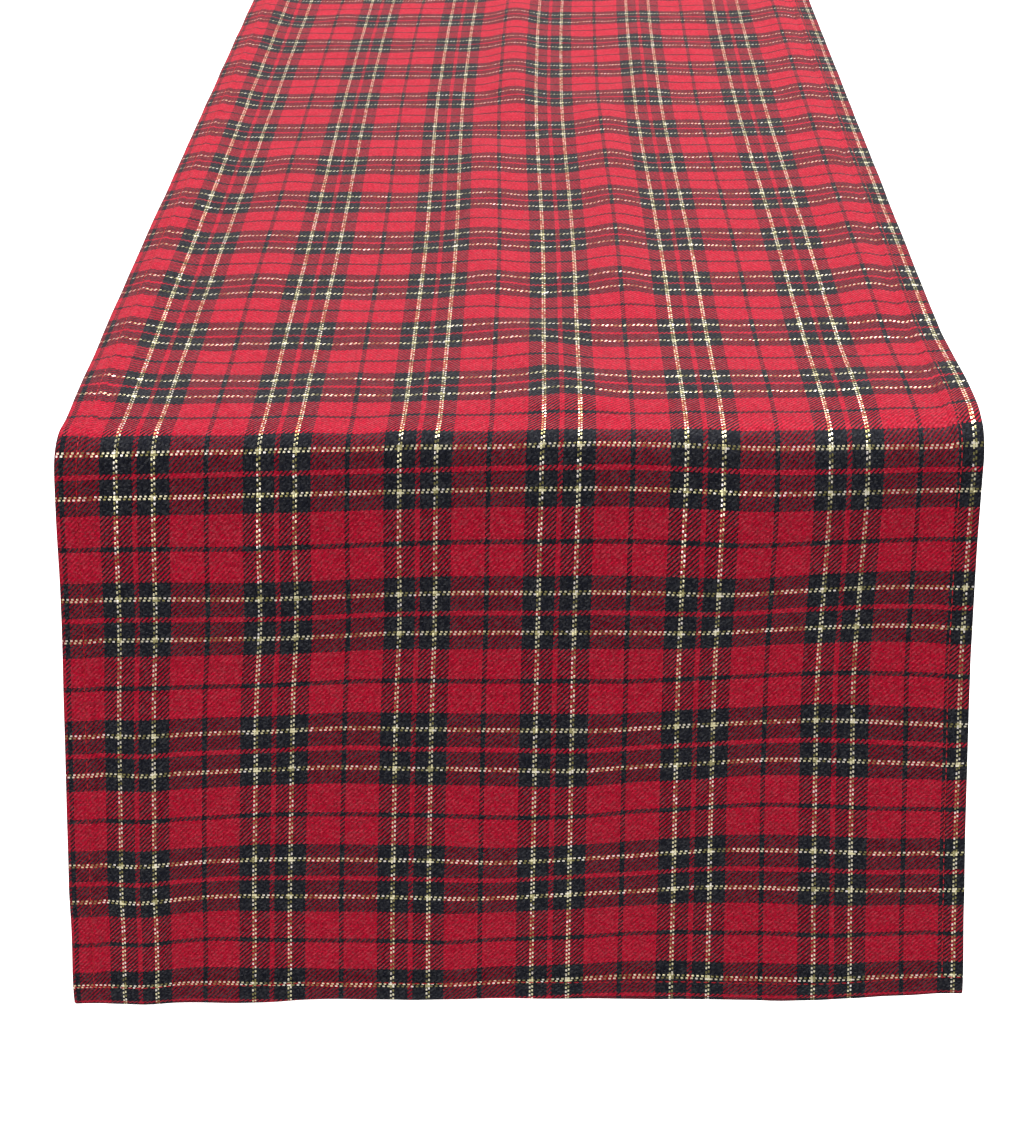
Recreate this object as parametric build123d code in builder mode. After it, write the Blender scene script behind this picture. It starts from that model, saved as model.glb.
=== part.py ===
"""Tartan table runner that lies on a table and hangs over both of its ends.

Sizes are millimetres. X runs across the runner, Y along it and Z is up. The origin is on the
underside of the cloth, at the middle of the stretch that lies on the table. The front end is at -Y.

The runner is one length of woven cloth with a double-turned hem all round, a row of stitching
through each hem, and gold metal-film yarns woven in among the dyed ones. It bends in two places, at
the table's edges, so it is made as a middle section and two hanging drops, each with its own pieces.
"""

from build123d import *

import os
from math import cos, degrees, radians, sin, tan

# Overall size of the finished runner
runner_width = 355.6
runner_length = 1828.8
drop_length = 240.0

# The cloth, and the hem bands, which are three thicknesses of it
cloth_thickness = 0.7
hem_layers = 3
side_hem_width = 10.0
end_hem_width = 9.0

# Lockstitching, one row through each hem, set in from the hem's inner fold
stitch_width = 0.7
stitch_height = 0.25
stitch_inset = 1.0

# The bend over the table's edge, how far from plumb a drop hangs, and the gap that lets it swing
edge_radius = 12.0
drop_lean = 13.0
fold_gap = 1.0

# Spacing of the yarns, and the stripes of one repeat of the tartan, counted in yarns. The stripes of
# the warp settle its gold ones. The weft's gold stripes are counted out from its centre stripe.
warp_pitch = 0.4716
weft_pitch = 0.482
guard_yarns = 4
ground_yarns = 28
block_yarns = 26
centre_yarns = 4
gold_yarns = 4
centre_to_gold = 17
gold_height = 0.12

# The pattern's first guard stripe lies this far in from the left edge. Along the runner the pattern
# starts in the middle of a centre stripe, where the front end is folded.
left_guard_inset = 3.1

# Worked out from the sizes above
half_width = runner_width / 2
half_middle = runner_length / 2 - drop_length
inner_half_width = half_width - side_hem_width
hem_start = drop_length - end_hem_width
hem_thickness = hem_layers * cloth_thickness
stitch_top = hem_thickness + stitch_height
warp_top = cloth_thickness + gold_height
weft_top = warp_top + gold_height

neutral_radius = edge_radius + cloth_thickness / 2
bend_angle = radians(90 - drop_lean)
bend_length = neutral_radius * bend_angle

warp_stripe = gold_yarns * warp_pitch
weft_stripe = gold_yarns * weft_pitch
sett_yarns = guard_yarns + 2 * ground_yarns + 2 * block_yarns + centre_yarns
guard_to_gold = guard_yarns / 2 + ground_yarns + block_yarns / 2

os.makedirs("parts", exist_ok=True)


def fold_point(end, distance, height):
    """Point of a drop in the YZ plane: distance along the cloth from the table's edge, and height
    above the cloth's underside. end is -1 for the front drop and 1 for the back one."""
    angle = min(distance / neutral_radius, bend_angle)
    straight = max(distance - bend_length, 0)
    radius = edge_radius + height
    outward = radius * sin(angle) + straight * cos(angle)
    upward = radius * cos(angle) - edge_radius - straight * sin(angle)
    return (end * (half_middle + outward), upward)


def fold_line(end, start, stop, height):
    """The cloth's line at one height, from start to stop: round the bend, then down the drop."""
    bend_stop = min(stop, bend_length)
    straight_start = max(start, bend_length)
    if start < bend_stop:
        middle = (start + bend_stop) / 2
        ThreePointArc(
            fold_point(end, start, height),
            fold_point(end, middle, height),
            fold_point(end, bend_stop, height),
        )
    if straight_start < stop:
        Line(fold_point(end, straight_start, height), fold_point(end, stop, height))


def flat_piece(name, spans, runs, low, high):
    """Bands of the middle section: each span is (left, right), each run is (front, back)."""
    with BuildPart() as piece:
        with BuildSketch(Plane.XY.offset(low)):
            for left, right in spans:
                for front, back in runs:
                    with Locations(((left + right) / 2, (front + back) / 2)):
                        Rectangle(right - left, back - front)
        extrude(amount=high - low)
    piece.part.label = name
    export_step(piece.part, f"parts/{name}.step")


def hanging_piece(name, end, spans, runs, low, high):
    """Bands of a drop: each span is (left, right), each run is (start, stop) along the cloth."""
    with BuildPart() as piece:
        for left, right in spans:
            with BuildSketch(Plane.YZ.offset(left)):
                for start, stop in runs:
                    with BuildLine():
                        fold_line(end, start, stop, low)
                        fold_line(end, start, stop, high)
                        Line(fold_point(end, start, low), fold_point(end, start, high))
                        Line(fold_point(end, stop, low), fold_point(end, stop, high))
                    make_face()
            extrude(amount=right - left)
    piece.part.label = name
    export_step(piece.part, f"parts/{name}.step")


def gold_warp_spans():
    """Gold stripes across the runner, as (left, right), that lie clear of the side hems."""
    sett = sett_yarns * warp_pitch
    spans = []
    for repeat in range(int(runner_width / sett) + 1):
        guard = left_guard_inset - half_width + repeat * sett
        for yarns in (guard_to_gold, sett_yarns - guard_to_gold):
            left = guard + yarns * warp_pitch - warp_stripe / 2
            if -inner_half_width < left and left + warp_stripe < inner_half_width:
                spans.append((left, left + warp_stripe))
    return spans


def gold_weft_runs(near, far):
    """Gold stripes along the runner that lie whole between near and far, as (start, stop), all
    measured from the front end."""
    sett = sett_yarns * weft_pitch
    runs = []
    for repeat in range(int(runner_length / sett) + 1):
        for yarns in (centre_to_gold, sett_yarns - centre_to_gold):
            start = repeat * sett + yarns * weft_pitch - weft_stripe / 2
            if near < start and start + weft_stripe < far:
                runs.append((start, start + weft_stripe))
    return runs


def middle_section():
    """Pieces of the stretch that lies on the table."""
    run = [(-half_middle, half_middle)]
    inside = [(-inner_half_width, inner_half_width)]
    near = inner_half_width + stitch_inset
    far = near + stitch_width
    flat_piece("middle_cloth", inside, run, 0, cloth_thickness)
    flat_piece("middle_left_hem", [(-half_width, -inner_half_width)], run, 0, hem_thickness)
    flat_piece("middle_right_hem", [(inner_half_width, half_width)], run, 0, hem_thickness)
    flat_piece("middle_left_stitching", [(-far, -near)], run, hem_thickness, stitch_top)
    flat_piece("middle_right_stitching", [(near, far)], run, hem_thickness, stitch_top)

    from_front = gold_weft_runs(drop_length, runner_length - drop_length)
    weft_runs = [(start - runner_length / 2, stop - runner_length / 2) for start, stop in from_front]
    flat_piece("middle_gold_warp_yarns", gold_warp_spans(), run, cloth_thickness, warp_top)
    flat_piece("middle_gold_weft_yarns", inside, weft_runs, warp_top, weft_top)


def drop_gold_weft_runs(end):
    """Gold stripes along a drop, as (start, stop) measured down from the table's edge."""
    if end < 0:
        from_front = gold_weft_runs(end_hem_width, drop_length - fold_gap)
        return [(drop_length - stop, drop_length - start) for start, stop in from_front]
    edge = runner_length - drop_length
    from_front = gold_weft_runs(edge + fold_gap, runner_length - end_hem_width)
    return [(start - edge, stop - edge) for start, stop in from_front]


def drop_section(name, end):
    """Pieces of one hanging drop."""
    run = [(fold_gap, hem_start)]
    across = [(-half_width, half_width)]
    inside = [(-inner_half_width, inner_half_width)]
    left_hem = [(-half_width, -inner_half_width)]
    right_hem = [(inner_half_width, half_width)]
    near = inner_half_width + stitch_inset
    far = near + stitch_width
    row = hem_start + stitch_inset
    end_row = [(row, row + stitch_width)]
    hanging_piece(f"{name}_drop_cloth", end, inside, run, 0, cloth_thickness)
    hanging_piece(f"{name}_left_hem", end, left_hem, run, 0, hem_thickness)
    hanging_piece(f"{name}_right_hem", end, right_hem, run, 0, hem_thickness)
    hanging_piece(f"{name}_end_hem", end, across, [(hem_start, drop_length)], 0, hem_thickness)
    hanging_piece(f"{name}_left_stitching", end, [(-far, -near)], run, hem_thickness, stitch_top)
    hanging_piece(f"{name}_right_stitching", end, [(near, far)], run, hem_thickness, stitch_top)
    hanging_piece(f"{name}_end_stitching", end, across, end_row, hem_thickness, stitch_top)
    hanging_piece(f"{name}_gold_warp_yarns", end, gold_warp_spans(), run, cloth_thickness, warp_top)
    hanging_piece(f"{name}_gold_weft_yarns", end, inside, drop_gold_weft_runs(end), warp_top, weft_top)


def swing_axis():
    """Axis that a drop swings about, as (outward from the table's edge, up from the underside).

    Swinging the drop about it through the whole bend lays the cloth level with the middle section
    at its true length.
    """
    hanging = (neutral_radius * sin(bend_angle), neutral_radius * (cos(bend_angle) - 1))
    level = (bend_length, 0)
    spread = 2 * tan(bend_angle / 2)
    outward = (hanging[0] + level[0]) / 2 - (level[1] - hanging[1]) / spread
    upward = (hanging[1] + level[1]) / 2 + (level[0] - hanging[0]) / spread
    return (outward, upward + cloth_thickness / 2)


middle_section()
drop_section("front", -1)
drop_section("back", 1)

axis_outward, axis_up = swing_axis()
print(f"swing axes along X at y = +-{half_middle + axis_outward:.3f}, z = {axis_up:.3f}")
print(f"swing range 0 to {degrees(bend_angle):.1f} degrees")
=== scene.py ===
"""Tartan table runner draped over both ends of a table: woven cloth, turned hems and stitching.

Everything is in metres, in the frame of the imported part. The drape is worked out in the cloth's own
coordinates: across from the left edge, along from the front end, and height above the underside.
"""

import math

import bmesh
import bpy
import numpy as np
from mathutils import Matrix, Vector


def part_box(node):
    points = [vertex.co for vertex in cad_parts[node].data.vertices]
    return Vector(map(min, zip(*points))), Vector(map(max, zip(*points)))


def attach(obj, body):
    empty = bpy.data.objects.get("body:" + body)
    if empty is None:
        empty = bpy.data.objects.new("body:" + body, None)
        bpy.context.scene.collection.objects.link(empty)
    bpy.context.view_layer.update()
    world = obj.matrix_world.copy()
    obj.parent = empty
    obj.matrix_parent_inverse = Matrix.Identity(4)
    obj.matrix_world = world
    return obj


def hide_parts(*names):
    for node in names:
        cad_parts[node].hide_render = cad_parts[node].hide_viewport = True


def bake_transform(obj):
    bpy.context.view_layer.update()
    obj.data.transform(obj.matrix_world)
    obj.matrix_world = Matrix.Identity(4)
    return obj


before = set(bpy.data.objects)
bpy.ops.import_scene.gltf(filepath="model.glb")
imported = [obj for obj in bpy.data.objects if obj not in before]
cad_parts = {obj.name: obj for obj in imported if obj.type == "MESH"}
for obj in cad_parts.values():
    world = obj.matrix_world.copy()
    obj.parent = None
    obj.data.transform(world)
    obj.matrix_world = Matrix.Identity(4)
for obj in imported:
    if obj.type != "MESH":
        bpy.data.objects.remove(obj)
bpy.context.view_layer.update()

mm = 0.001

# Sizes that the frame already holds
_, middle_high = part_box("middle_cloth")
left_hem_low, left_hem_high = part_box("middle_left_hem")
stitching_low, stitching_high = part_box("middle_left_stitching")
half_middle = middle_high.y
cloth_thickness = middle_high.z
half_width = -left_hem_low.x
side_hem_width = left_hem_high.x - left_hem_low.x
hem_thickness = left_hem_high.z
stitch_inset = (stitching_low.x + stitching_high.x) / 2 + half_width

# Sizes of the drape and the hems
drop_length = 240 * mm
edge_radius = 12 * mm
lean_at_bend = math.radians(20)
lean_at_hem = math.radians(6)
end_hem_width = 9 * mm
end_stitch_inset = 8.35 * mm
width = 2 * half_width
half_length = half_middle + drop_length
runner_length = 2 * half_length
neutral_radius = edge_radius + cloth_thickness / 2
turned_thickness = hem_thickness - cloth_thickness
roll = hem_thickness / 2

# How much of its width a drop draws in below the edge, and how much it opens again lower down
waist_share = 0.0125
opening_share = 0.012

# How far the front drop and its hem stray from an even hang. Each is the most that it comes to.
edge_slip = 3.0 * mm
drop_sag = 1.2 * mm
hem_reach_left = 3.7 * mm
hem_reach_middle = 1.9 * mm
hem_rise_right = 1.9 * mm
left_flare = 2.3 * mm
left_corner_flare = 1.2 * mm
left_sway = 1.0 * mm
left_bulge = 1.6 * mm
left_hollow = 1.4 * mm
right_corner_flare = 1.4 * mm
edge_nudge = 1.5 * mm

# Spacing of the yarns, and the tartan's repeat, counted in yarns
warp_pitch = 0.4716 * mm
weft_pitch = 0.482 * mm
first_guard = 3.1 * mm
sett_yarns = 116

# The twill: each yarn passes over two others and under two, and moves on by one
float_yarns = 2
twill_yarns = 2 * float_yarns

# Where the stripes change, in yarns out from the middle of the centre stripe: centre red, black with
# a gold stripe in it, red ground, black guard
warp_edges = (2, 13, 17, 28, 56)
weft_edges = (2, 15, 19, 31, 56)

# How far the weave runs out of true: the weft's slope, the warp's drift on the front drop and on the
# table, and how much of the stripe at the front hem's fold is rolled under, which also brings the
# black stripe to the rim near the sides as painted shade under the fold
weft_skew = 0.0157
drop_drift = 7.4 * mm
table_drift = 4.4 * mm
stripe_roll_and_rim_shade = 2.4 * mm

# Dyes and metal film, with painted light and shade among them
cloth_red = (0.49, 0.002, 0.026, 1)
# A darker copy of the red for the hem's folded layers: painted shade
shaded_hem_red = (0.46, 0.002, 0.024, 1)
yarn_black = (0.007, 0.008, 0.015, 1)
gold_film = (0.82, 0.75, 0.42, 1)
# Painted dark reflection and painted glint colours for the metal film's floats
painted_dark_reflection = (0.27, 0.24, 0.09, 1)
painted_glint_colour = (1.0, 0.92, 0.88, 1)
sheen_tint = (1.0, 0.85, 0.78, 1)
# Sewing thread: its red, and a darker red painted as shade in the grooves of its twist
thread_groove_shade = (0.3, 0.006, 0.014, 1)
thread_light = (0.6, 0.016, 0.03, 1)

# Evenness of the yarns: the least strength of dyeing, what each yarn and each float adds by chance,
# and the painted light and painted shade that the warp, the weft and a float sunk between black ones
# take
dye_least = 0.64
dye_by_yarn = 0.2
dye_by_float = 0.52
warp_painted_shade = 0.72
weft_painted_light = 1.18
sunk_painted_shade = 0.78
lint_depth = 0.3
fibre_scale = 2600
yarn_roughness = 0.88

# The pale bloom of loose fibres: its most, and how much of it the weft and the warp show
bloom_most = 0.028
weft_bloom = 1.3
warp_bloom = 0.7

# How steeply a float falls away towards its ends and its sides
end_fall = 0.45
side_fall = 0.75

# Metal film: the share of its place that it fills, the share of its floats painted with a dark
# reflection, how rarely one gets a painted glint, and how much of the crossing yarn's colour comes
# through
film_breadth = 0.68
dark_reflection_share = 0.36
painted_glint_rarity = 3.5
film_thinness = 0.18
film_metal = 0.7
film_roughness = 0.34

# Numbers that keep the chances of the weft, of the second draw and of whole yarns apart
weft_chances = 7000
second_chances = 311
yarn_chances = 5

# Stitching
stitch_pitch = 3.1 * mm
stitch_length = 2.5 * mm
thread_radius = 0.26 * mm
stitch_unevenness = 0.06
dent_depth = 0.32 * mm
dent_reach = 1.1 * mm

# The two halves' stitches stop this far from the middle, clear of each other
join_clearance = 1 * mm

halves = (("front", -1), ("back", 1))
sides = (("left", -1), ("right", 1))


def smooth(value, start, stop):
    """0 before start, 1 after stop and an even rise between them."""
    t = np.clip((value - start) / (stop - start), 0, 1)
    return t * t * (3 - 2 * t)


def band(value, rise_start, rise_stop, fall_start, fall_stop):
    """1 between the rise and the fall, and 0 outside them."""
    return smooth(value, rise_start, rise_stop) * (1 - smooth(value, fall_start, fall_stop))


def swell(value, centre, reach):
    """1 at the centre, and falling off evenly to both sides of it."""
    return np.exp(-(((value - centre) / reach) ** 2))


# ---------------------------------------------------------------- folds and drape


def ridge(across, along, line, height, half_breadth, ends):
    """A long soft fold, in millimetres. line is (along, across) points, ends are where it fades."""
    centre = np.interp(along, [p[0] for p in line], [p[1] for p in line])
    return height * band(along, *ends) * swell(across, centre, half_breadth)


# The folds, in millimetres: the line, the height, the half breadth, and where the fold fades
table_folds = [
    ([(240, 14), (900, 15), (1590, 17)], 3.2, 10, (225, 320, 1500, 1600)),
    ([(255, 196), (285, 190), (325, 180), (360, 170)], 2.5, 20, (245, 262, 335, 375)),
    ([(350, 228), (400, 222), (560, 221), (690, 219)], 3.2, 13, (335, 385, 620, 700)),
    ([(600, 176), (700, 170), (960, 168)], 3.2, 13, (600, 680, 860, 980)),
    ([(290, 329), (420, 333), (960, 334)], 3.2, 12, (300, 400, 840, 980)),
    ([(240, 364), (400, 364)], 2.4, 46, (236, 250, 270, 340)),
    ([(300, 58), (640, 62)], 1.4, 14, (300, 380, 540, 640)),
    ([(350, 163), (620, 158)], 1.8, 14, (340, 380, 540, 640)),
    ([(640, 240), (900, 244)], 1.3, 14, (620, 700, 800, 900)),
    ([(900, 208), (1200, 190), (1590, 180)], 3.0, 14, (900, 1010, 1480, 1595)),
    ([(960, 88), (1300, 100), (1590, 84)], 2.4, 15, (950, 1060, 1500, 1595)),
    ([(980, 302), (1590, 312)], 3.0, 14, (970, 1080, 1520, 1595)),
]
front_drop_folds = [
    ([(0, 130), (113, 204), (170, 249), (240, 294)], 2.9, 26, (-120, 60, 232, 250)),
    ([(0, 40), (113, 105), (170, 141), (240, 176)], -2.4, 26, (-120, 60, 232, 250)),
    ([(0, 215), (113, 285), (170, 321), (240, 352)], -2.6, 25, (-120, 60, 232, 250)),
    ([(0, 290), (113, 346), (150, 362)], 3.0, 24, (-120, 60, 150, 200)),
    ([(0, 28), (140, 32)], 2.2, 11, (-40, 20, 100, 160)),
    ([(170, 12), (240, 52)], 1.7, 22, (120, 180, 232, 250)),
    ([(150, 284), (240, 304)], 5.6, 62, (130, 195, 212, 246)),
    ([(130, 70), (210, 78)], 2.6, 50, (110, 170, 190, 226)),
    ([(30, 290), (90, 296)], -2.4, 60, (10, 60, 70, 110)),
    ([(60, 176), (140, 190)], 1.8, 46, (50, 85, 115, 160)),
]
back_drop_folds = [
    ([(0, 92), (240, 84)], 3.2, 26, (-120, 60, 232, 250)),
    ([(0, 170), (240, 182)], -2.6, 28, (-120, 60, 232, 250)),
    ([(0, 262), (240, 304)], 2.8, 28, (-120, 60, 232, 250)),
    ([(0, 335), (140, 338)], -2.0, 16, (-40, 20, 110, 170)),
]

# How far the cloth stands off the table, and how much more it arches just before the edge
table_loft = 0.7
edge_arch = 1.6

# Small ripples, in millimetres: the height of one, and the shortest and longest wave
ripple_count = 18
ripple_height = 0.11
ripple_shortest = 14
ripple_longest = 60
ripple_seed = 7


def ripples(across, along):
    """Small uneven waves left by folding and pressing, in millimetres."""
    rng = np.random.default_rng(ripple_seed)
    total = np.zeros_like(across)
    for _ in range(ripple_count):
        wavelength = rng.uniform(ripple_shortest, ripple_longest)
        turn = rng.normal(math.pi / 2, 0.5)
        phase = rng.uniform(0, 2 * math.pi)
        travel = across * math.sin(turn) + along * math.cos(turn)
        total += wavelength / ripple_longest * np.sin(2 * math.pi * travel / wavelength + phase)
    return ripple_height * total


def fold_height(across, along):
    """How far the cloth stands off its even drape, in metres."""
    across, along = across / mm, along / mm
    length, drop = runner_length / mm, drop_length / mm
    from_end = np.minimum(along, length - along)
    on_table = sum(ridge(across, along, *fold) for fold in table_folds)
    on_table += table_loft + edge_arch * swell(from_end - drop, 24, 40)
    front = sum(ridge(across, from_end, *fold) for fold in front_drop_folds)
    back = sum(ridge(across, from_end, *fold) for fold in back_drop_folds)
    hanging = np.where(along < length / 2, front, back)
    share = smooth(drop - from_end, -4, 38)
    height = on_table * (1 - share) + hanging * share + ripples(across, along)
    return np.where(share == 0, np.maximum(height, 0), height) * mm


def hanging_line():
    """The cloth's neutral line past the table's edge: distance, outward, upward and angle."""
    distance = np.linspace(0, drop_length * 1.1, 4001)
    bend_turn = math.pi / 2 - lean_at_bend
    bend_length = neutral_radius * bend_turn
    below = (distance - bend_length) / (drop_length - bend_length)
    angle = np.where(
        distance < bend_length,
        distance / neutral_radius,
        bend_turn + (lean_at_bend - lean_at_hem) * below,
    )
    step = distance[1]
    middle = (angle[1:] + angle[:-1]) / 2
    outward = np.concatenate([[0], np.cumsum(np.cos(middle)) * step])
    upward = np.concatenate([[0], -np.cumsum(np.sin(middle)) * step])
    return distance, outward, upward, angle


hanging = hanging_line()


def slip(across, along):
    """How far the front drop's cloth has slid down past its even place."""
    beyond = drop_length - along
    slid = edge_slip * band(beyond, -8 * mm, 4 * mm, 10 * mm, 95 * mm)
    sag = drop_sag * swell(beyond, 60 * mm, 25 * mm)
    slid *= smooth(across, 205 * mm, 285 * mm)
    return slid + sag * band(across, 30 * mm, 70 * mm, 260 * mm, 300 * mm)


def hem_reach(across, along):
    """How much lower than square the front hem hangs. It is folded along the weft, not across it."""
    left = hem_reach_left * (1 - smooth(across, 55 * mm, 115 * mm))
    middle = hem_reach_middle * swell(across, 218 * mm, 38 * mm)
    right = hem_rise_right * smooth(across, 290 * mm, 356 * mm)
    return (left + middle - right) * np.clip(1 - along / (120 * mm), 0, 1)


def breadth(share):
    """A drop's breadth, as a share of its even one, at a share of the way down it."""
    waist = waist_share * np.sin(math.pi * np.clip(share * 1.25, 0, 1))
    return 1 - waist + opening_share * np.clip(share * 1.6 - 0.6, 0, 1)


def front_sway(across, beyond, share):
    """How far the front drop's cloth strays to the right of its even place."""
    left = left_flare * smooth(share, 0.08, 0.5) + left_corner_flare * smooth(share, 0.85, 1)
    left *= 1 - smooth(across, 0, 110 * mm)
    left += left_sway * smooth(beyond, -10 * mm, 20 * mm) * (1 - smooth(across, 150 * mm, 255 * mm))
    left += left_bulge * swell(beyond, 30 * mm, 32 * mm) * (1 - smooth(across, 0, 50 * mm))
    left -= left_hollow * swell(beyond, 75 * mm, 25 * mm) * swell(across, 85 * mm, 60 * mm)
    right = right_corner_flare * smooth(share, 0.8, 1) * smooth(across, 240 * mm, 330 * mm)
    nudge = edge_nudge * swell(beyond, -12 * mm, 70 * mm)
    nudge *= 1 - 0.6 * swell(across, 180 * mm, 90 * mm)
    return right + nudge - left


def drape(across, along, height):
    """Place of points of the cloth, given in its own coordinates, on the draped runner."""
    given = np.broadcast_arrays(across, along, height)
    across, along, height = (np.asarray(values, float) for values in given)
    distance, outward, upward, angle = hanging
    end = np.where(along < half_length, -1, 1)
    beyond = drop_length - np.minimum(along, runner_length - along)
    beyond = beyond + (slip(across, along) + hem_reach(across, along)) * (end < 0)
    over = np.maximum(beyond, 0)
    turn = np.interp(over, distance, angle)
    reach = np.interp(over, distance, outward) + np.minimum(beyond, 0)
    fall = np.interp(over, distance, upward)
    lift = height + fold_height(across, along) - cloth_thickness / 2

    share = over / drop_length
    x = (across - half_width) * breadth(share) + front_sway(across, beyond, share) * (end < 0)
    y = end * (half_middle + reach + lift * np.sin(turn))
    z = cloth_thickness / 2 + fall + lift * np.cos(turn)
    return np.stack([x, y, z], -1)


def rim_roll_and_shade(across, along):
    """Stripe rolled under at the front hem's fold, at both sides of the hem; the black rim is partly
    painted shade.
    """
    near_fold = 1 - smooth(along, 0.3 * mm, 2.2 * mm)
    return stripe_roll_and_rim_shade * near_fold * (1 - band(across, 60 * mm, 85 * mm, 185 * mm, 210 * mm))


def pattern_place(across, along):
    """Where a point of the cloth lies in the weave, which wavers and runs a little out of square."""
    # Slow waves of about a third of a millimetre, none in step with another
    waver = 0.35 * mm * np.sin(across / (31 * mm) + 1.3) * np.sin(along / (83 * mm) + 0.4)
    waver += 0.25 * mm * np.sin(across / (57 * mm) + along / (140 * mm))
    drift = 0.3 * mm * np.sin(along / (96 * mm) + across / (160 * mm))

    # The warp drifts to one side down the front drop, and over a stretch of the table
    down = np.clip((drop_length - 22 * mm - along) / drop_length, 0, 1)
    bowed = 1 - np.clip((across - 90 * mm) / (266 * mm), 0, 1)
    drift += drop_drift * down * smooth(across, -20 * mm, 78 * mm) * bowed
    away = band(along, 390 * mm, 700 * mm, 780 * mm, 1100 * mm)
    drift += table_drift * away * band(across, 40 * mm, 130 * mm, 270 * mm, 350 * mm)

    # Without the hem's reach, the front hem's fold follows the weft, which slopes. The roll at the
    # fold brings the black stripe to the rim near the sides, partly as painted shade
    fold_ease = hem_reach(across, along) + rim_roll_and_shade(across, along)
    in_weave = along - np.where(along < half_length, fold_ease, 0)
    return across + drift, in_weave - weft_skew * (across - half_width) + waver


# ---------------------------------------------------------------- meshes


def add_object(name, data):
    """An object of the scene, at the origin."""
    added = bpy.data.objects.new(name, data)
    bpy.context.scene.collection.objects.link(added)
    return added


def new_piece(name, places, faces, pattern, material):
    """A smooth mesh at the origin, with the weave's coordinates, in metres, as its UV map."""
    mesh = bpy.data.meshes.new(name)
    mesh.from_pydata(places.tolist(), [], faces)
    layer = mesh.uv_layers.new(name="weave")
    corners = np.zeros(len(mesh.loops), np.int32)
    mesh.loops.foreach_get("vertex_index", corners)
    layer.data.foreach_set("uv", pattern[corners].astype(np.float32).ravel())
    mesh.materials.append(material)
    mesh.shade_smooth()
    mesh.set_sharp_from_angle(angle=math.radians(50))
    return add_object(name, mesh)


def grid_faces(rows, columns, first=0, flip=False):
    """Quads of a grid of vertices, numbered row by row from first."""
    faces = []
    for row in range(rows - 1):
        for column in range(columns - 1):
            a = first + row * columns + column
            quad = (a, a + 1, a + columns + 1, a + columns)
            faces.append(quad[::-1] if flip else quad)
    return faces


def stations(*stretches):
    """Places along a line: each stretch is (start, stop, step)."""
    places = [np.linspace(a, b, max(2, round((b - a) / step) + 1))[:-1] for a, b, step in stretches]
    return np.concatenate([*places, [stretches[-1][1]]])


def stations_along(end, hem_step, step):
    """Places along half the runner, close together at its hem and where it turns over the edge."""
    bend_start, bend_stop = drop_length - 26 * mm, drop_length + 8 * mm
    hem_stop = 15 * mm
    from_end = stations(
        (roll, hem_stop, hem_step),
        (hem_stop, bend_start, step),
        (bend_start, bend_stop, 1.3 * mm),
        (bend_stop, half_length, step),
    )
    return from_end if end < 0 else runner_length - from_end[::-1]


def hem_lift(across, along):
    """How far the turned layers hold the cloth up, over and just beside a hem."""
    from_side = np.minimum(across, width - across)
    from_end = np.minimum(along, runner_length - along)
    ease = 4 * mm
    side = 1 - smooth(from_side, side_hem_width, side_hem_width + ease)
    end = 1 - smooth(from_end, end_hem_width, end_hem_width + ease)
    return turned_thickness * np.maximum(side, end)


def stitch_dent(across, along):
    """Shallow groove that the stitching pulls into the face of each hem."""
    from_side = np.minimum(across, width - across)
    from_end = np.minimum(along, runner_length - along)
    side = swell(from_side, stitch_inset, dent_reach)
    end = swell(from_end, end_stitch_inset, dent_reach)
    return dent_depth * np.maximum(side, end)


def cloth_half(name, end, material):
    """One half of the woven length, a closed sheet as thick as the cloth."""
    margin, step = 17 * mm, 3.2 * mm
    steps_across = stations(
        (roll, margin, 1.2 * mm),
        (margin, width - margin, step),
        (width - margin, width - roll, 1.2 * mm),
    )
    steps_along = stations_along(end, 1.3 * mm, step)
    across, along = (a.ravel() for a in np.meshgrid(steps_across, steps_along))
    lift = hem_lift(across, along)
    face = drape(across, along, lift + cloth_thickness - stitch_dent(across, along))
    under = drape(across, along, lift)
    rows, columns = len(steps_along), len(steps_across)
    count = rows * columns
    faces = grid_faces(rows, columns) + grid_faces(rows, columns, count, flip=True)
    rim = list(range(columns))
    rim += [row * columns + columns - 1 for row in range(1, rows)]
    rim += [count - 1 - column for column in range(1, columns)]
    rim += [row * columns for row in range(rows - 2, 0, -1)]
    for a, b in zip(rim, rim[1:] + rim[:1]):
        faces.append((b, a, a + count, b + count))
    pattern = np.stack(pattern_place(across, along), -1)
    return new_piece(name, np.concatenate([face, under]), faces, np.tile(pattern, (2, 1)), material)


def loft(name, rings, patterns, material):
    """A closed solid through rings of equal count, with flat ends."""
    count, around = len(rings), len(rings[0])
    faces = []
    for ring in range(count - 1):
        for k in range(around):
            a, b = ring * around + k, ring * around + (k + 1) % around
            faces.append((a, b, b + around, a + around))
    faces.append(tuple(reversed(range(around))))
    faces.append(tuple(range((count - 1) * around, count * around)))
    piece = new_piece(name, np.concatenate(rings), faces, np.concatenate(patterns), material)
    outward_faces(piece)
    return piece


def outward_faces(piece):
    """Turns the whole closed piece right side out, if its volume comes out negative."""
    shape = bmesh.new()
    shape.from_mesh(piece.data)
    if shape.calc_volume(signed=True) < 0:
        bmesh.ops.reverse_faces(shape, faces=shape.faces)
        shape.to_mesh(piece.data)
    shape.free()


def hem_outline(turned, total, low):
    """Section of a double-turned hem: (inset from the fold, height, distance along the cloth).

    It starts on the face, rolls round the outer fold, runs in underneath to the inner fold and
    comes back between the layers.
    """
    half = total / 2
    points = []
    for turn in np.linspace(math.pi / 2, 3 * math.pi / 2, 10):
        points.append((roll + roll * math.cos(turn), low + half + half * math.sin(turn)))
    inner = cloth_thickness
    points.append(((roll + turned) / 2, low))
    for turn in np.linspace(-math.pi / 2, math.pi / 2, 7):
        points.append((turned - inner + inner * math.cos(turn), low + inner + inner * math.sin(turn)))
    points.append(((roll + turned) / 2, low + 2 * inner))
    points.append((roll, low + 2 * inner))
    points = np.array(points)
    walked = np.concatenate([[0], np.cumsum(np.hypot(*np.diff(points, axis=0).T))])
    return points[:, 0], points[:, 1], roll - walked


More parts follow.
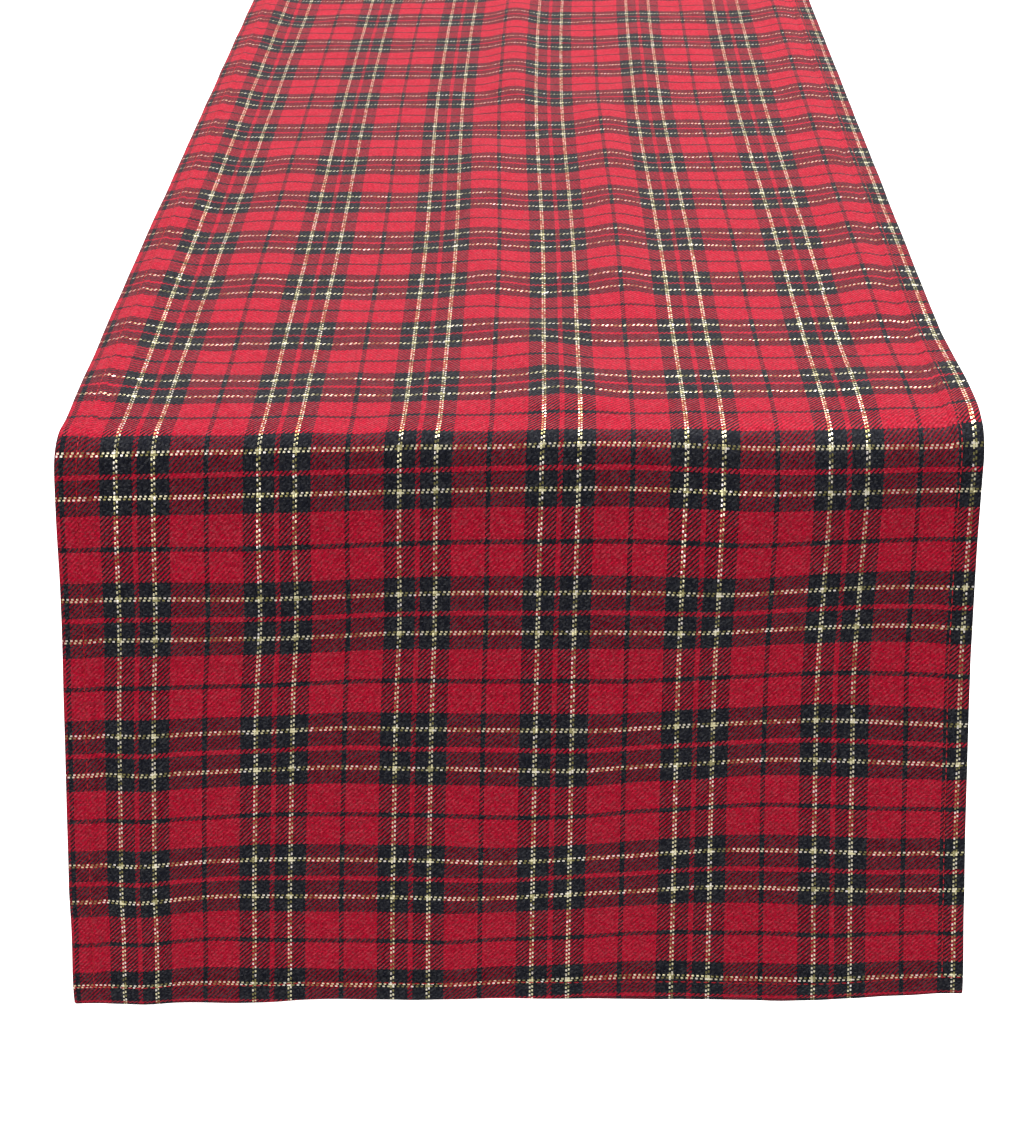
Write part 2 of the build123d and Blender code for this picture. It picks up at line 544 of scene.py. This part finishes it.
def side_hem(name, side, end, material):
    """Turned hem down one side of half the runner. side is -1 for the left and 1 for the right."""
    steps_along = stations_along(end, 2 * mm, 4 * mm)
    inset, height, cloth = hem_outline(side_hem_width, hem_thickness, 0)
    rings, patterns = [], []
    across = inset if side < 0 else width - inset
    weave = cloth if side < 0 else width - cloth
    for along in steps_along:
        along = np.full_like(inset, along)
        rings.append(drape(across, along, height))
        patterns.append(np.stack(pattern_place(weave, along), -1))
    return loft(name, rings, patterns, material)


def end_hem(name, end, material):
    """Turned hem across one end, thicker at the corners, where it covers the side hems."""
    steps = stations((0, roll, 0.3 * mm), (roll, 20 * mm, 1.4 * mm), (20 * mm, width / 2, 4 * mm))
    steps_across = np.concatenate([steps, (width - steps[:-1])[::-1]])
    rings, patterns = [], []
    for across in steps_across:
        from_side = min(across, width - across)
        corner = 1 - smooth(from_side, side_hem_width + 0.5 * mm, side_hem_width + 6 * mm)
        low = -turned_thickness * corner
        inset, height, cloth = hem_outline(end_hem_width, hem_thickness - low, low)
        if from_side < roll:
            share = max(0.15, math.sqrt(1 - (1 - from_side / roll) ** 2))
            centre = (hem_thickness + low) / 2
            height = centre + (height - centre) * share
        along = inset if end < 0 else runner_length - inset
        weave = cloth if end < 0 else runner_length - cloth
        across = np.full_like(inset, across)
        rings.append(drape(across, along, height))
        patterns.append(np.stack(pattern_place(across, weave), -1))
    return loft(name, rings, patterns, material)


# ---------------------------------------------------------------- stitches


def stitch_row_tree():
    """Geometry nodes that lay one short, slightly uneven stitch after another along a line."""
    tree = bpy.data.node_groups.new("Stitch row", "GeometryNodeTree")
    inputs = (
        ("Line", "NodeSocketGeometry"),
        ("Stitch Pitch", "NodeSocketFloat"),
        ("Stitch Length", "NodeSocketFloat"),
        ("Thread Radius", "NodeSocketFloat"),
        ("Unevenness", "NodeSocketFloat"),
        ("Seed", "NodeSocketInt"),
        ("Thread", "NodeSocketMaterial"),
    )
    for label, kind in inputs:
        tree.interface.new_socket(name=label, in_out="INPUT", socket_type=kind)
    tree.interface.new_socket(name="Stitches", in_out="OUTPUT", socket_type="NodeSocketGeometry")
    nodes, link = tree.nodes, tree.links.new
    given = nodes.new("NodeGroupInput")
    line = nodes.new("GeometryNodeMeshToCurve")
    spaced = nodes.new("GeometryNodeResampleCurve")
    spaced.mode = "LENGTH"
    thread = nodes.new("GeometryNodeMeshUVSphere")
    thread.inputs["Segments"].default_value = 6
    thread.inputs["Rings"].default_value = 5
    shaped = nodes.new("GeometryNodeTransform")
    size = nodes.new("ShaderNodeCombineXYZ")
    half_stitch = nodes.new("ShaderNodeMath")
    half_stitch.operation = "MULTIPLY"
    half_stitch.inputs[1].default_value = 0.5
    tangent = nodes.new("GeometryNodeInputTangent")
    jitter = nodes.new("FunctionNodeRandomValue")
    jitter.data_type = "FLOAT_VECTOR"
    jitter.inputs["Min"].default_value = (-1, -1, -1)
    jitter.inputs["Max"].default_value = (1, 1, 1)
    scaled = nodes.new("ShaderNodeVectorMath")
    scaled.operation = "SCALE"
    aim = nodes.new("ShaderNodeVectorMath")
    aim.operation = "ADD"
    turned = nodes.new("FunctionNodeAlignRotationToVector")
    turned.axis = "X"
    placed = nodes.new("GeometryNodeInstanceOnPoints")
    solid = nodes.new("GeometryNodeRealizeInstances")
    smoothed = nodes.new("GeometryNodeSetShadeSmooth")
    coloured = nodes.new("GeometryNodeSetMaterial")
    made = nodes.new("NodeGroupOutput")

    link(given.outputs["Line"], line.inputs[0])
    link(line.outputs[0], spaced.inputs["Curve"])
    link(given.outputs["Stitch Pitch"], spaced.inputs["Length"])
    link(given.outputs["Stitch Length"], half_stitch.inputs[0])
    link(half_stitch.outputs[0], size.inputs[0])
    link(given.outputs["Thread Radius"], size.inputs[1])
    link(given.outputs["Thread Radius"], size.inputs[2])
    link(thread.outputs["Mesh"], shaped.inputs["Geometry"])
    link(size.outputs[0], shaped.inputs["Scale"])
    link(given.outputs["Seed"], jitter.inputs["Seed"])
    link(jitter.outputs[0], scaled.inputs[0])
    link(given.outputs["Unevenness"], scaled.inputs["Scale"])
    link(tangent.outputs[0], aim.inputs[0])
    link(scaled.outputs[0], aim.inputs[1])
    link(aim.outputs[0], turned.inputs["Vector"])
    link(spaced.outputs[0], placed.inputs["Points"])
    link(shaped.outputs[0], placed.inputs["Instance"])
    link(turned.outputs[0], placed.inputs["Rotation"])
    link(placed.outputs[0], solid.inputs[0])
    link(solid.outputs[0], smoothed.inputs[0])
    link(smoothed.outputs[0], coloured.inputs["Geometry"])
    link(given.outputs["Thread"], coloured.inputs["Material"])
    link(coloured.outputs[0], made.inputs[0])
    return tree


def stitches(name, places, tree, thread, seed):
    """A row of stitches along draped places, as one plain mesh."""
    mesh = bpy.data.meshes.new(f"{name}_line")
    mesh.from_pydata(places.tolist(), [(i, i + 1) for i in range(len(places) - 1)], [])
    row = add_object(f"{name}_line", mesh)
    modifier = row.modifiers.new("Stitch row", "NODES")
    modifier.node_group = tree
    values = {
        "Stitch Pitch": stitch_pitch,
        "Stitch Length": stitch_length,
        "Thread Radius": thread_radius,
        "Unevenness": stitch_unevenness,
        "Seed": seed,
        "Thread": thread,
    }
    for item in tree.interface.items_tree:
        if item.in_out == "INPUT" and item.name in values:
            modifier[item.identifier] = values[item.name]
    ready = row.evaluated_get(bpy.context.evaluated_depsgraph_get())
    made = bpy.data.meshes.new_from_object(ready)
    made.name = name
    piece = add_object(name, made)
    row.modifiers.remove(modifier)
    bpy.data.objects.remove(row)
    return piece


def side_row(side, start, stop):
    """Line of the stitching down one side, a little sunk into the hem's face."""
    along = np.linspace(start, stop, max(3, int(abs(stop - start) / (2 * mm))))
    across = stitch_inset if side < 0 else width - stitch_inset
    return drape(across, along, hem_thickness - thread_radius)


def end_row(end):
    """Line of the stitching across one end, which stops short of the corners."""
    across = np.linspace(2 * mm, width - 2 * mm, 240)
    along = end_stitch_inset if end < 0 else runner_length - end_stitch_inset
    return drape(across, along, hem_thickness - thread_radius)


# ---------------------------------------------------------------- materials


def feed(tree, value, socket):
    """Links value to the socket, or sets it there if it is a plain number or colour."""
    if isinstance(value, bpy.types.NodeSocket):
        tree.links.new(value, socket)
    else:
        socket.default_value = value


def calc(tree, operation, *values):
    """One maths node and its result."""
    node = tree.nodes.new("ShaderNodeMath")
    node.operation = operation
    for value, socket in zip(values, node.inputs):
        feed(tree, value, socket)
    return node.outputs[0]


def mix(tree, kind, values, inputs, output):
    """One mix node of a kind, fed through the numbered inputs, and its numbered output."""
    node = tree.nodes.new("ShaderNodeMix")
    node.data_type = kind
    for value, number in zip(values, inputs):
        feed(tree, value, node.inputs[number])
    return node.outputs[output]


def blend_colours(tree, share, first, second):
    """first where share is 0, second where it is 1."""
    return mix(tree, "RGBA", (share, first, second), (0, 6, 7), 2)


def blend_values(tree, share, first, second):
    """first where share is 0, second where it is 1, for plain numbers."""
    return mix(tree, "FLOAT", (share, first, second), (0, 2, 3), 0)


def combine(tree, operation, first, second, label=1):
    """One vector maths node on colours, or on a colour and a number."""
    node = tree.nodes.new("ShaderNodeVectorMath")
    node.operation = operation
    tree.links.new(first, node.inputs[0])
    tree.links.new(second, node.inputs[label])
    return node.outputs[0]


def chance(tree, first, second):
    """Random number from 0 to 1, the same for the same pair of numbers."""
    pair = tree.nodes.new("ShaderNodeCombineXYZ")
    feed(tree, first, pair.inputs[0])
    feed(tree, second, pair.inputs[1])
    node = tree.nodes.new("ShaderNodeTexWhiteNoise")
    node.noise_dimensions = "2D"
    tree.links.new(pair.outputs[0], node.inputs["Vector"])
    return node.outputs["Value"]


def group_sockets(tree, inputs, outputs):
    """Gives a shader group its named inputs and outputs, and returns its two end nodes."""
    for label, kind, value in inputs:
        socket = tree.interface.new_socket(name=label, in_out="INPUT", socket_type=kind)
        if value is not None:
            socket.default_value = value
    for label, kind in outputs:
        tree.interface.new_socket(name=label, in_out="OUTPUT", socket_type=kind)
    return tree.nodes.new("NodeGroupInput"), tree.nodes.new("NodeGroupOutput")


def stripe_of(tree, yarn, edges, red, black, gold):
    """Colour of one yarn, whether it is a gold one, and whether it is a stripe's second film yarn.

    The repeat is mirrored about its centre stripe, so the distance from there settles the colour.
    """
    middle = sett_yarns / 2
    place = calc(tree, "FLOORED_MODULO", calc(tree, "ADD", yarn, 0.5), sett_yarns)
    distance = calc(tree, "ABSOLUTE", calc(tree, "SUBTRACT", place, middle))
    beyond = [calc(tree, "GREATER_THAN", distance, edge) for edge in edges]
    is_gold = calc(tree, "SUBTRACT", beyond[1], beyond[2])
    is_black = calc(tree, "SUBTRACT", beyond[0], beyond[3])
    is_black = calc(tree, "ADD", is_black, beyond[4])
    colour = blend_colours(tree, is_black, red, black)

    gold_middle = (edges[1] + edges[2]) / 2
    halfway = (middle - gold_middle, middle, middle + gold_middle)
    passed = [calc(tree, "GREATER_THAN", place, line) for line in halfway]
    is_second = calc(tree, "ADD", calc(tree, "SUBTRACT", passed[0], passed[1]), passed[2])
    return blend_colours(tree, is_gold, colour, gold), is_black, is_gold, is_second


def film_place(tree, position, yarn, is_gold, is_second):
    """Which yarn, and where across it, with a film yarn taking the room of two dyed ones.

    The two film yarns of a gold stripe follow each other in the twill.
    """
    half = calc(tree, "DIVIDE", calc(tree, "SUBTRACT", position, 1), 2)
    pair = calc(tree, "ADD", calc(tree, "MULTIPLY", calc(tree, "FLOOR", half), 2), 1)
    film = calc(tree, "SUBTRACT", pair, is_second)
    return blend_values(tree, is_gold, yarn, film), blend_values(tree, is_gold, position, half)


def arched(tree, place, fall):
    """1 at the middle of a float, and lower towards its ends or sides."""
    lower = calc(tree, "MULTIPLY", place, calc(tree, "MULTIPLY", place, fall))
    return calc(tree, "SUBTRACT", 1, lower)


def float_shape(tree, run, cross):
    """Which float this is, how far along it and across it, and how high it stands."""
    count = calc(tree, "ADD", run, float_yarns)
    count = calc(tree, "FLOOR", calc(tree, "DIVIDE", count, twill_yarns))
    place = calc(tree, "WRAP", run, float_yarns, -float_yarns)
    side = calc(tree, "SUBTRACT", calc(tree, "MULTIPLY", calc(tree, "FRACT", cross), 2), 1)
    height = calc(tree, "MULTIPLY", arched(tree, place, end_fall), arched(tree, side, side_fall))
    return count, place, side, height


def dye_with_painted_shade(tree, warp_up, painted_sunk_shade, yarn_luck, luck):
    """How strongly one float looks dyed, each yarn and float a little different, with painted light
    and shade.
    """
    by_yarn = calc(tree, "MULTIPLY", yarn_luck, dye_by_yarn)
    by_float = calc(tree, "MULTIPLY", luck, dye_by_float)
    dye_and_shade = calc(tree, "ADD", calc(tree, "ADD", by_yarn, by_float), dye_least)
    dye_and_shade = calc(tree, "MULTIPLY", dye_and_shade, blend_values(tree, warp_up, weft_painted_light, warp_painted_shade))
    return calc(tree, "MULTIPLY", dye_and_shade, blend_values(tree, painted_sunk_shade, 1, sunk_painted_shade))


def film_colour(tree, luck, gold, painted_glint, crossing):
    """Metal film with a painted dark reflection on some floats and a painted glint on a few, letting
    the crossing yarn through.
    """
    film = blend_colours(tree, calc(tree, "GREATER_THAN", luck, dark_reflection_share), painted_dark_reflection, gold)
    film = blend_colours(tree, calc(tree, "POWER", luck, painted_glint_rarity), film, painted_glint)
    return blend_colours(tree, film_thinness, film, crossing)


def tartan_group():
    """Two-and-two twill in a tartan of dyed yarns with gold metal-film yarns, with painted light and
    shade.
    """
    tree = bpy.data.node_groups.new("Tartan twill", "ShaderNodeTree")
    given, made = group_sockets(
        tree,
        [
            ("Weave Place", "NodeSocketVector", None),
            ("Warp Pitch", "NodeSocketFloat", warp_pitch),
            ("Weft Pitch", "NodeSocketFloat", weft_pitch),
            ("First Guard", "NodeSocketFloat", first_guard),
            ("Red", "NodeSocketColor", cloth_red),
            ("Black", "NodeSocketColor", yarn_black),
            ("Gold", "NodeSocketColor", gold_film),
            ("Painted Glint", "NodeSocketColor", painted_glint_colour),
        ],
        [
            ("Colour", "NodeSocketColor"),
            ("Roughness", "NodeSocketFloat"),
            ("Metal", "NodeSocketFloat"),
            ("Height", "NodeSocketFloat"),
        ],
    )
    put, out = given.outputs, made.inputs

    # Which warp yarn and which weft yarn meet here, and their stripes
    split = tree.nodes.new("ShaderNodeSeparateXYZ")
    tree.links.new(put["Weave Place"], split.inputs[0])
    shifted = calc(tree, "SUBTRACT", split.outputs[0], put["First Guard"])
    warp = calc(tree, "DIVIDE", shifted, put["Warp Pitch"])
    weft = calc(tree, "DIVIDE", split.outputs[1], put["Weft Pitch"])
    weft = calc(tree, "ADD", weft, sett_yarns / 2)
    warp_yarn, weft_yarn = calc(tree, "FLOOR", warp), calc(tree, "FLOOR", weft)
    dyes = put["Red"], put["Black"], put["Gold"]
    warp_colour, warp_black, warp_gold, warp_second = stripe_of(tree, warp_yarn, warp_edges, *dyes)
    weft_colour, weft_black, weft_gold, weft_second = stripe_of(tree, weft_yarn, weft_edges, *dyes)
    warp_end, warp_cross = film_place(tree, warp, warp_yarn, warp_gold, warp_second)
    weft_pick, weft_cross = film_place(tree, weft, weft_yarn, weft_gold, weft_second)

    # Which of the two lies on top, and the shape of its float
    step = calc(tree, "FLOORED_MODULO", calc(tree, "SUBTRACT", warp_end, weft_pick), twill_yarns)
    warp_up = calc(tree, "LESS_THAN", step, float_yarns - 0.5)
    warp_float = float_shape(tree, calc(tree, "SUBTRACT", warp_end, weft), warp_cross)
    over_weft = calc(tree, "SUBTRACT", calc(tree, "SUBTRACT", warp, weft_pick), float_yarns + 1)
    weft_float = float_shape(tree, over_weft, weft_cross)
    floats = zip(weft_float, warp_float)
    count, run, side, height = (blend_values(tree, warp_up, *pair) for pair in floats)
    colour = blend_colours(tree, warp_up, weft_colour, warp_colour)
    crossing = blend_colours(tree, warp_up, warp_colour, weft_colour)
    gold = blend_values(tree, warp_up, weft_gold, warp_gold)

    # Each yarn is dyed and spun a little unevenly, and each float of metal film gets its own painted
    # glint or painted dark reflection by chance. Warp floats get painted shade and weft floats
    # painted light, and a light float between black ones gets painted shade, as if it sank between
    # them.
    number = blend_values(tree, warp_up, calc(tree, "ADD", weft_pick, weft_chances), warp_end)
    luck = chance(tree, number, count)
    second_luck = chance(tree, calc(tree, "ADD", number, second_chances), count)
    between_weft = calc(tree, "GREATER_THAN", warp_black, weft_black)
    between_warp = calc(tree, "GREATER_THAN", weft_black, warp_black)
    painted_sunk_shade = blend_values(tree, warp_up, between_weft, between_warp)
    dye_and_shade = dye_with_painted_shade(tree, warp_up, painted_sunk_shade, chance(tree, number, yarn_chances), luck)
    # Each float is darkened towards its ends and sides, following its height: painted shade between
    # the yarns
    float_painted_shade = calc(tree, "ADD", calc(tree, "MULTIPLY", height, 0.5), 0.5)
    fibres = tree.nodes.new("ShaderNodeTexNoise")
    tree.links.new(put["Weave Place"], fibres.inputs["Vector"])
    fibres.inputs["Scale"].default_value = fibre_scale
    fibres.inputs["Detail"].default_value = 3
    lint = calc(tree, "MULTIPLY", calc(tree, "SUBTRACT", fibres.outputs[0], 0.5), lint_depth)
    shade = calc(tree, "ADD", calc(tree, "MULTIPLY", dye_and_shade, float_painted_shade), lint)

    # The film is narrower than its place, so the crossing yarn shows on both sides of it
    narrow = calc(tree, "LESS_THAN", calc(tree, "ABSOLUTE", side), film_breadth)
    film_shows = calc(tree, "MULTIPLY", gold, narrow)
    beside = calc(tree, "MULTIPLY", gold, calc(tree, "SUBTRACT", 1, narrow))
    yarns = blend_colours(tree, beside, colour, crossing)
    dyed_and_shaded = combine(tree, "SCALE", yarns, shade, "Scale")

    # Loose fibres lay a pale bloom over some floats
    bloom = calc(tree, "MULTIPLY", calc(tree, "MULTIPLY", second_luck, second_luck), bloom_most)
    bloom = calc(tree, "MULTIPLY", bloom, blend_values(tree, warp_up, weft_bloom, warp_bloom))
    bloomed = combine(tree, "ADD", dyed_and_shaded, bloom)

    # The film's colour, with its painted glints and painted dark reflections
    film = film_colour(tree, luck, put["Gold"], put["Painted Glint"], crossing)
    tree.links.new(blend_colours(tree, film_shows, bloomed, film), out["Colour"])
    roughness = blend_values(tree, film_shows, yarn_roughness, film_roughness)
    tree.links.new(roughness, out["Roughness"])
    tree.links.new(calc(tree, "MULTIPLY", film_shows, film_metal), out["Metal"])

    # The relief: every float is arched, and each one of film is tilted its own way
    tilt_across = calc(tree, "MULTIPLY", side, calc(tree, "SUBTRACT", luck, 0.5))
    tilt_along = calc(tree, "MULTIPLY", run, calc(tree, "SUBTRACT", second_luck, 0.5))
    tilt = calc(tree, "MULTIPLY", gold, calc(tree, "ADD", tilt_across, tilt_along))
    tree.links.new(calc(tree, "ADD", calc(tree, "ADD", height, tilt), lint), out["Height"])
    return tree


def new_material(name):
    """A new material, its tree and its surface."""
    material = bpy.data.materials.new(name)
    material.use_nodes = True
    tree = material.node_tree
    return material, tree, tree.nodes["Principled BSDF"]


def relief(tree, surface, height, strength, distance):
    """Gives the surface a relief that follows a height from 0 to 1."""
    bump = tree.nodes.new("ShaderNodeBump")
    bump.inputs["Strength"].default_value = strength
    bump.inputs["Distance"].default_value = distance
    tree.links.new(height, bump.inputs["Height"])
    tree.links.new(bump.outputs[0], surface.inputs["Normal"])


def cloth_material(name, group, red):
    """The woven cloth. red lets the hem's folded layers be drawn a little darker, as painted shade.
    """
    material, tree, surface = new_material(name)
    place = tree.nodes.new("ShaderNodeUVMap")
    place.uv_map = "weave"
    weave = tree.nodes.new("ShaderNodeGroup")
    weave.node_tree = group
    weave.inputs["Red"].default_value = red
    tree.links.new(place.outputs[0], weave.inputs["Weave Place"])
    tree.links.new(weave.outputs["Colour"], surface.inputs["Base Color"])
    tree.links.new(weave.outputs["Roughness"], surface.inputs["Roughness"])
    tree.links.new(weave.outputs["Metal"], surface.inputs["Metallic"])
    relief(tree, surface, weave.outputs["Height"], strength=0.55, distance=0.12 * mm)
    surface.inputs["Sheen Weight"].default_value = 0.15
    surface.inputs["Sheen Roughness"].default_value = 0.35
    surface.inputs["Sheen Tint"].default_value = sheen_tint
    surface.inputs["Specular IOR Level"].default_value = 0.12
    return material


def thread_material():
    """Red spun sewing thread, twisted and slightly shiny, with painted shade in the grooves of its
    twist.
    """
    material, tree, surface = new_material("sewing_thread")
    place = tree.nodes.new("ShaderNodeTexCoord")
    plies = tree.nodes.new("ShaderNodeTexWave")
    plies.bands_direction = "DIAGONAL"
    plies.inputs["Scale"].default_value = 900
    plies.inputs["Distortion"].default_value = 2
    tree.links.new(place.outputs["Object"], plies.inputs["Vector"])
    ply = plies.outputs["Fac"]
    # The darker bands of the twist are painted shade between the plies
    colour = blend_colours(tree, ply, thread_groove_shade, thread_light)
    tree.links.new(colour, surface.inputs["Base Color"])
    tree.links.new(blend_values(tree, ply, 0.62, 0.45), surface.inputs["Roughness"])
    surface.inputs["Specular IOR Level"].default_value = 0.2
    relief(tree, surface, ply, strength=0.4, distance=0.05 * mm)
    return material


def glow_to_camera(tree, socket, seen, otherwise):
    """Sets a glow of otherwise, and adds seen to it where the camera looks straight at it."""
    sight = tree.nodes.new("ShaderNodeLightPath")
    glow = calc(tree, "MULTIPLY_ADD", sight.outputs["Is Camera Ray"], seen, otherwise)
    tree.links.new(glow, socket)


def floor_material():
    """Pale studio sweep."""
    material, tree, surface = new_material("pale_floor")
    surface.inputs["Base Color"].default_value = (0.9, 0.9, 0.9, 1)
    surface.inputs["Roughness"].default_value = 0.9
    surface.inputs["Emission Color"].default_value = (1, 1, 1, 1)
    glow_to_camera(tree, surface.inputs["Emission Strength"], seen=0.75, otherwise=0.1)
    return material


# ---------------------------------------------------------------- the runner


weave = tartan_group()
tartan = cloth_material("tartan_cloth", weave, cloth_red)
shaded_hem_tartan = cloth_material("hem_cloth", weave, shaded_hem_red)
thread = thread_material()
row_tree = stitch_row_tree()


def follow_drop(piece):
    """Bakes the piece's place into its mesh; its drape over the table's edge is already in its shape.
    """
    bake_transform(piece)


def dress_side(half, end, side_name, side):
    """One side's turned hem and its two rows of stitches, over the table and down the drop."""
    edge = drop_length if end < 0 else runner_length - drop_length
    middle = half_length + end * join_clearance
    hem_end = end_hem_width if end < 0 else runner_length - end_hem_width
    seed = 11 * (end + 2) + side + 1
    name = f"{half}_{side_name}"

    hem = side_hem(f"{name}_turned_hem", side, end, shaded_hem_tartan)
    follow_drop(hem)
    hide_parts(f"middle_{side_name}_hem", f"{half}_{side_name}_hem")

    table_line = side_row(side, middle, edge)
    on_table = stitches(f"{name}_table_stitches", table_line, row_tree, thread, seed)
    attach(on_table, "root")
    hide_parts(f"middle_{side_name}_stitching")

    drop_line = side_row(side, edge, hem_end)
    hanging_row = stitches(f"{name}_drop_stitches", drop_line, row_tree, thread, seed + 50)
    follow_drop(hanging_row)
    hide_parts(f"{half}_{side_name}_stitching")
    return [hem, on_table, hanging_row]


def dress_end(half, end):
    """The turned hem across one end, and its stitches."""
    hem = end_hem(f"{half}_turned_end_hem", end, shaded_hem_tartan)
    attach(hem, f"{half}_drop")
    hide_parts(f"{half}_end_hem")

    row = stitches(f"{half}_end_stitches", end_row(end), row_tree, thread, 90 + end)
    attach(row, f"{half}_drop")
    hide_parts(f"{half}_end_stitching")
    return [hem, row]


for half, end in halves:
    cloth = cloth_half(f"{half}_tartan_cloth", end, tartan)
    follow_drop(cloth)
    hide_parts("middle_cloth", "middle_gold_warp_yarns", "middle_gold_weft_yarns")
    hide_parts(f"{half}_drop_cloth", f"{half}_gold_warp_yarns", f"{half}_gold_weft_yarns")
    trims = []
    for side_name, side in sides:
        trims += dress_side(half, end, side_name, side)
    trims += dress_end(half, end)


# ---------------------------------------------------------------- studio


def studio_floor():
    """A broad pale floor, well under the hems."""
    mesh = bpy.data.meshes.new("studio_floor")
    reach, level = 14.0, -0.75
    corners = [(-reach, -reach), (reach, -reach), (reach, reach), (-reach, reach)]
    mesh.from_pydata([(x, y, level) for x, y in corners], [], [(0, 1, 2, 3)])
    mesh.materials.append(floor_material())
    add_object("studio_floor", mesh)


def soft_light(name, place, target, size, power):
    """A round soft lamp that looks at its target."""
    light = bpy.data.lights.new(name, "AREA")
    light.shape = "DISK"
    light.size = size
    light.energy = power
    lamp = add_object(name, light)
    lamp.location = place
    lamp.rotation_mode = "QUATERNION"
    lamp.rotation_quaternion = (Vector(target) - Vector(place)).to_track_quat("-Z", "Y")


def studio():
    """Pale surroundings and two soft lamps."""
    world = bpy.data.worlds.new("studio")
    world.use_nodes = True
    tree = world.node_tree
    surroundings = tree.nodes["Background"]
    surroundings.inputs["Color"].default_value = (1, 1, 1, 1)
    glow_to_camera(tree, surroundings.inputs["Strength"], seen=0.6, otherwise=0.42)
    bpy.context.scene.world = world
    bpy.context.scene.view_settings.view_transform = "Standard"
    soft_light("front_softbox", (-0.9, -2.6, 1.3), (0, -0.7, -0.1), size=1.6, power=20)
    soft_light("top_softbox", (0.4, 0.9, 2.4), (0, 0, 0), size=2.0, power=138)


def camera():
    """Looks down the runner from a little above its front end."""
    yaw, pitch, roll_turn = (math.radians(angle) for angle in (-1.19, 28.91, -0.70))
    ahead = Vector((math.sin(yaw), math.cos(yaw), 0))
    forward = math.cos(pitch) * ahead - math.sin(pitch) * Vector((0, 0, 1))
    level = Vector((math.cos(yaw), -math.sin(yaw), 0))
    upright = level.cross(forward)
    right = math.cos(roll_turn) * level + math.sin(roll_turn) * upright
    up = math.cos(roll_turn) * upright - math.sin(roll_turn) * level
    lens = bpy.data.cameras.new("camera")
    lens.lens = 70.0
    lens.clip_end = 60
    view = add_object("camera", lens)
    place = (13.6 * mm, -half_middle - 776.4 * mm, 368.7 * mm)
    turn = Matrix((right, up, -forward)).transposed().to_4x4()
    view.matrix_world = Matrix.Translation(place) @ turn
    bpy.context.scene.camera = view


studio_floor()
studio()
camera()

bpy.context.view_layer.update()
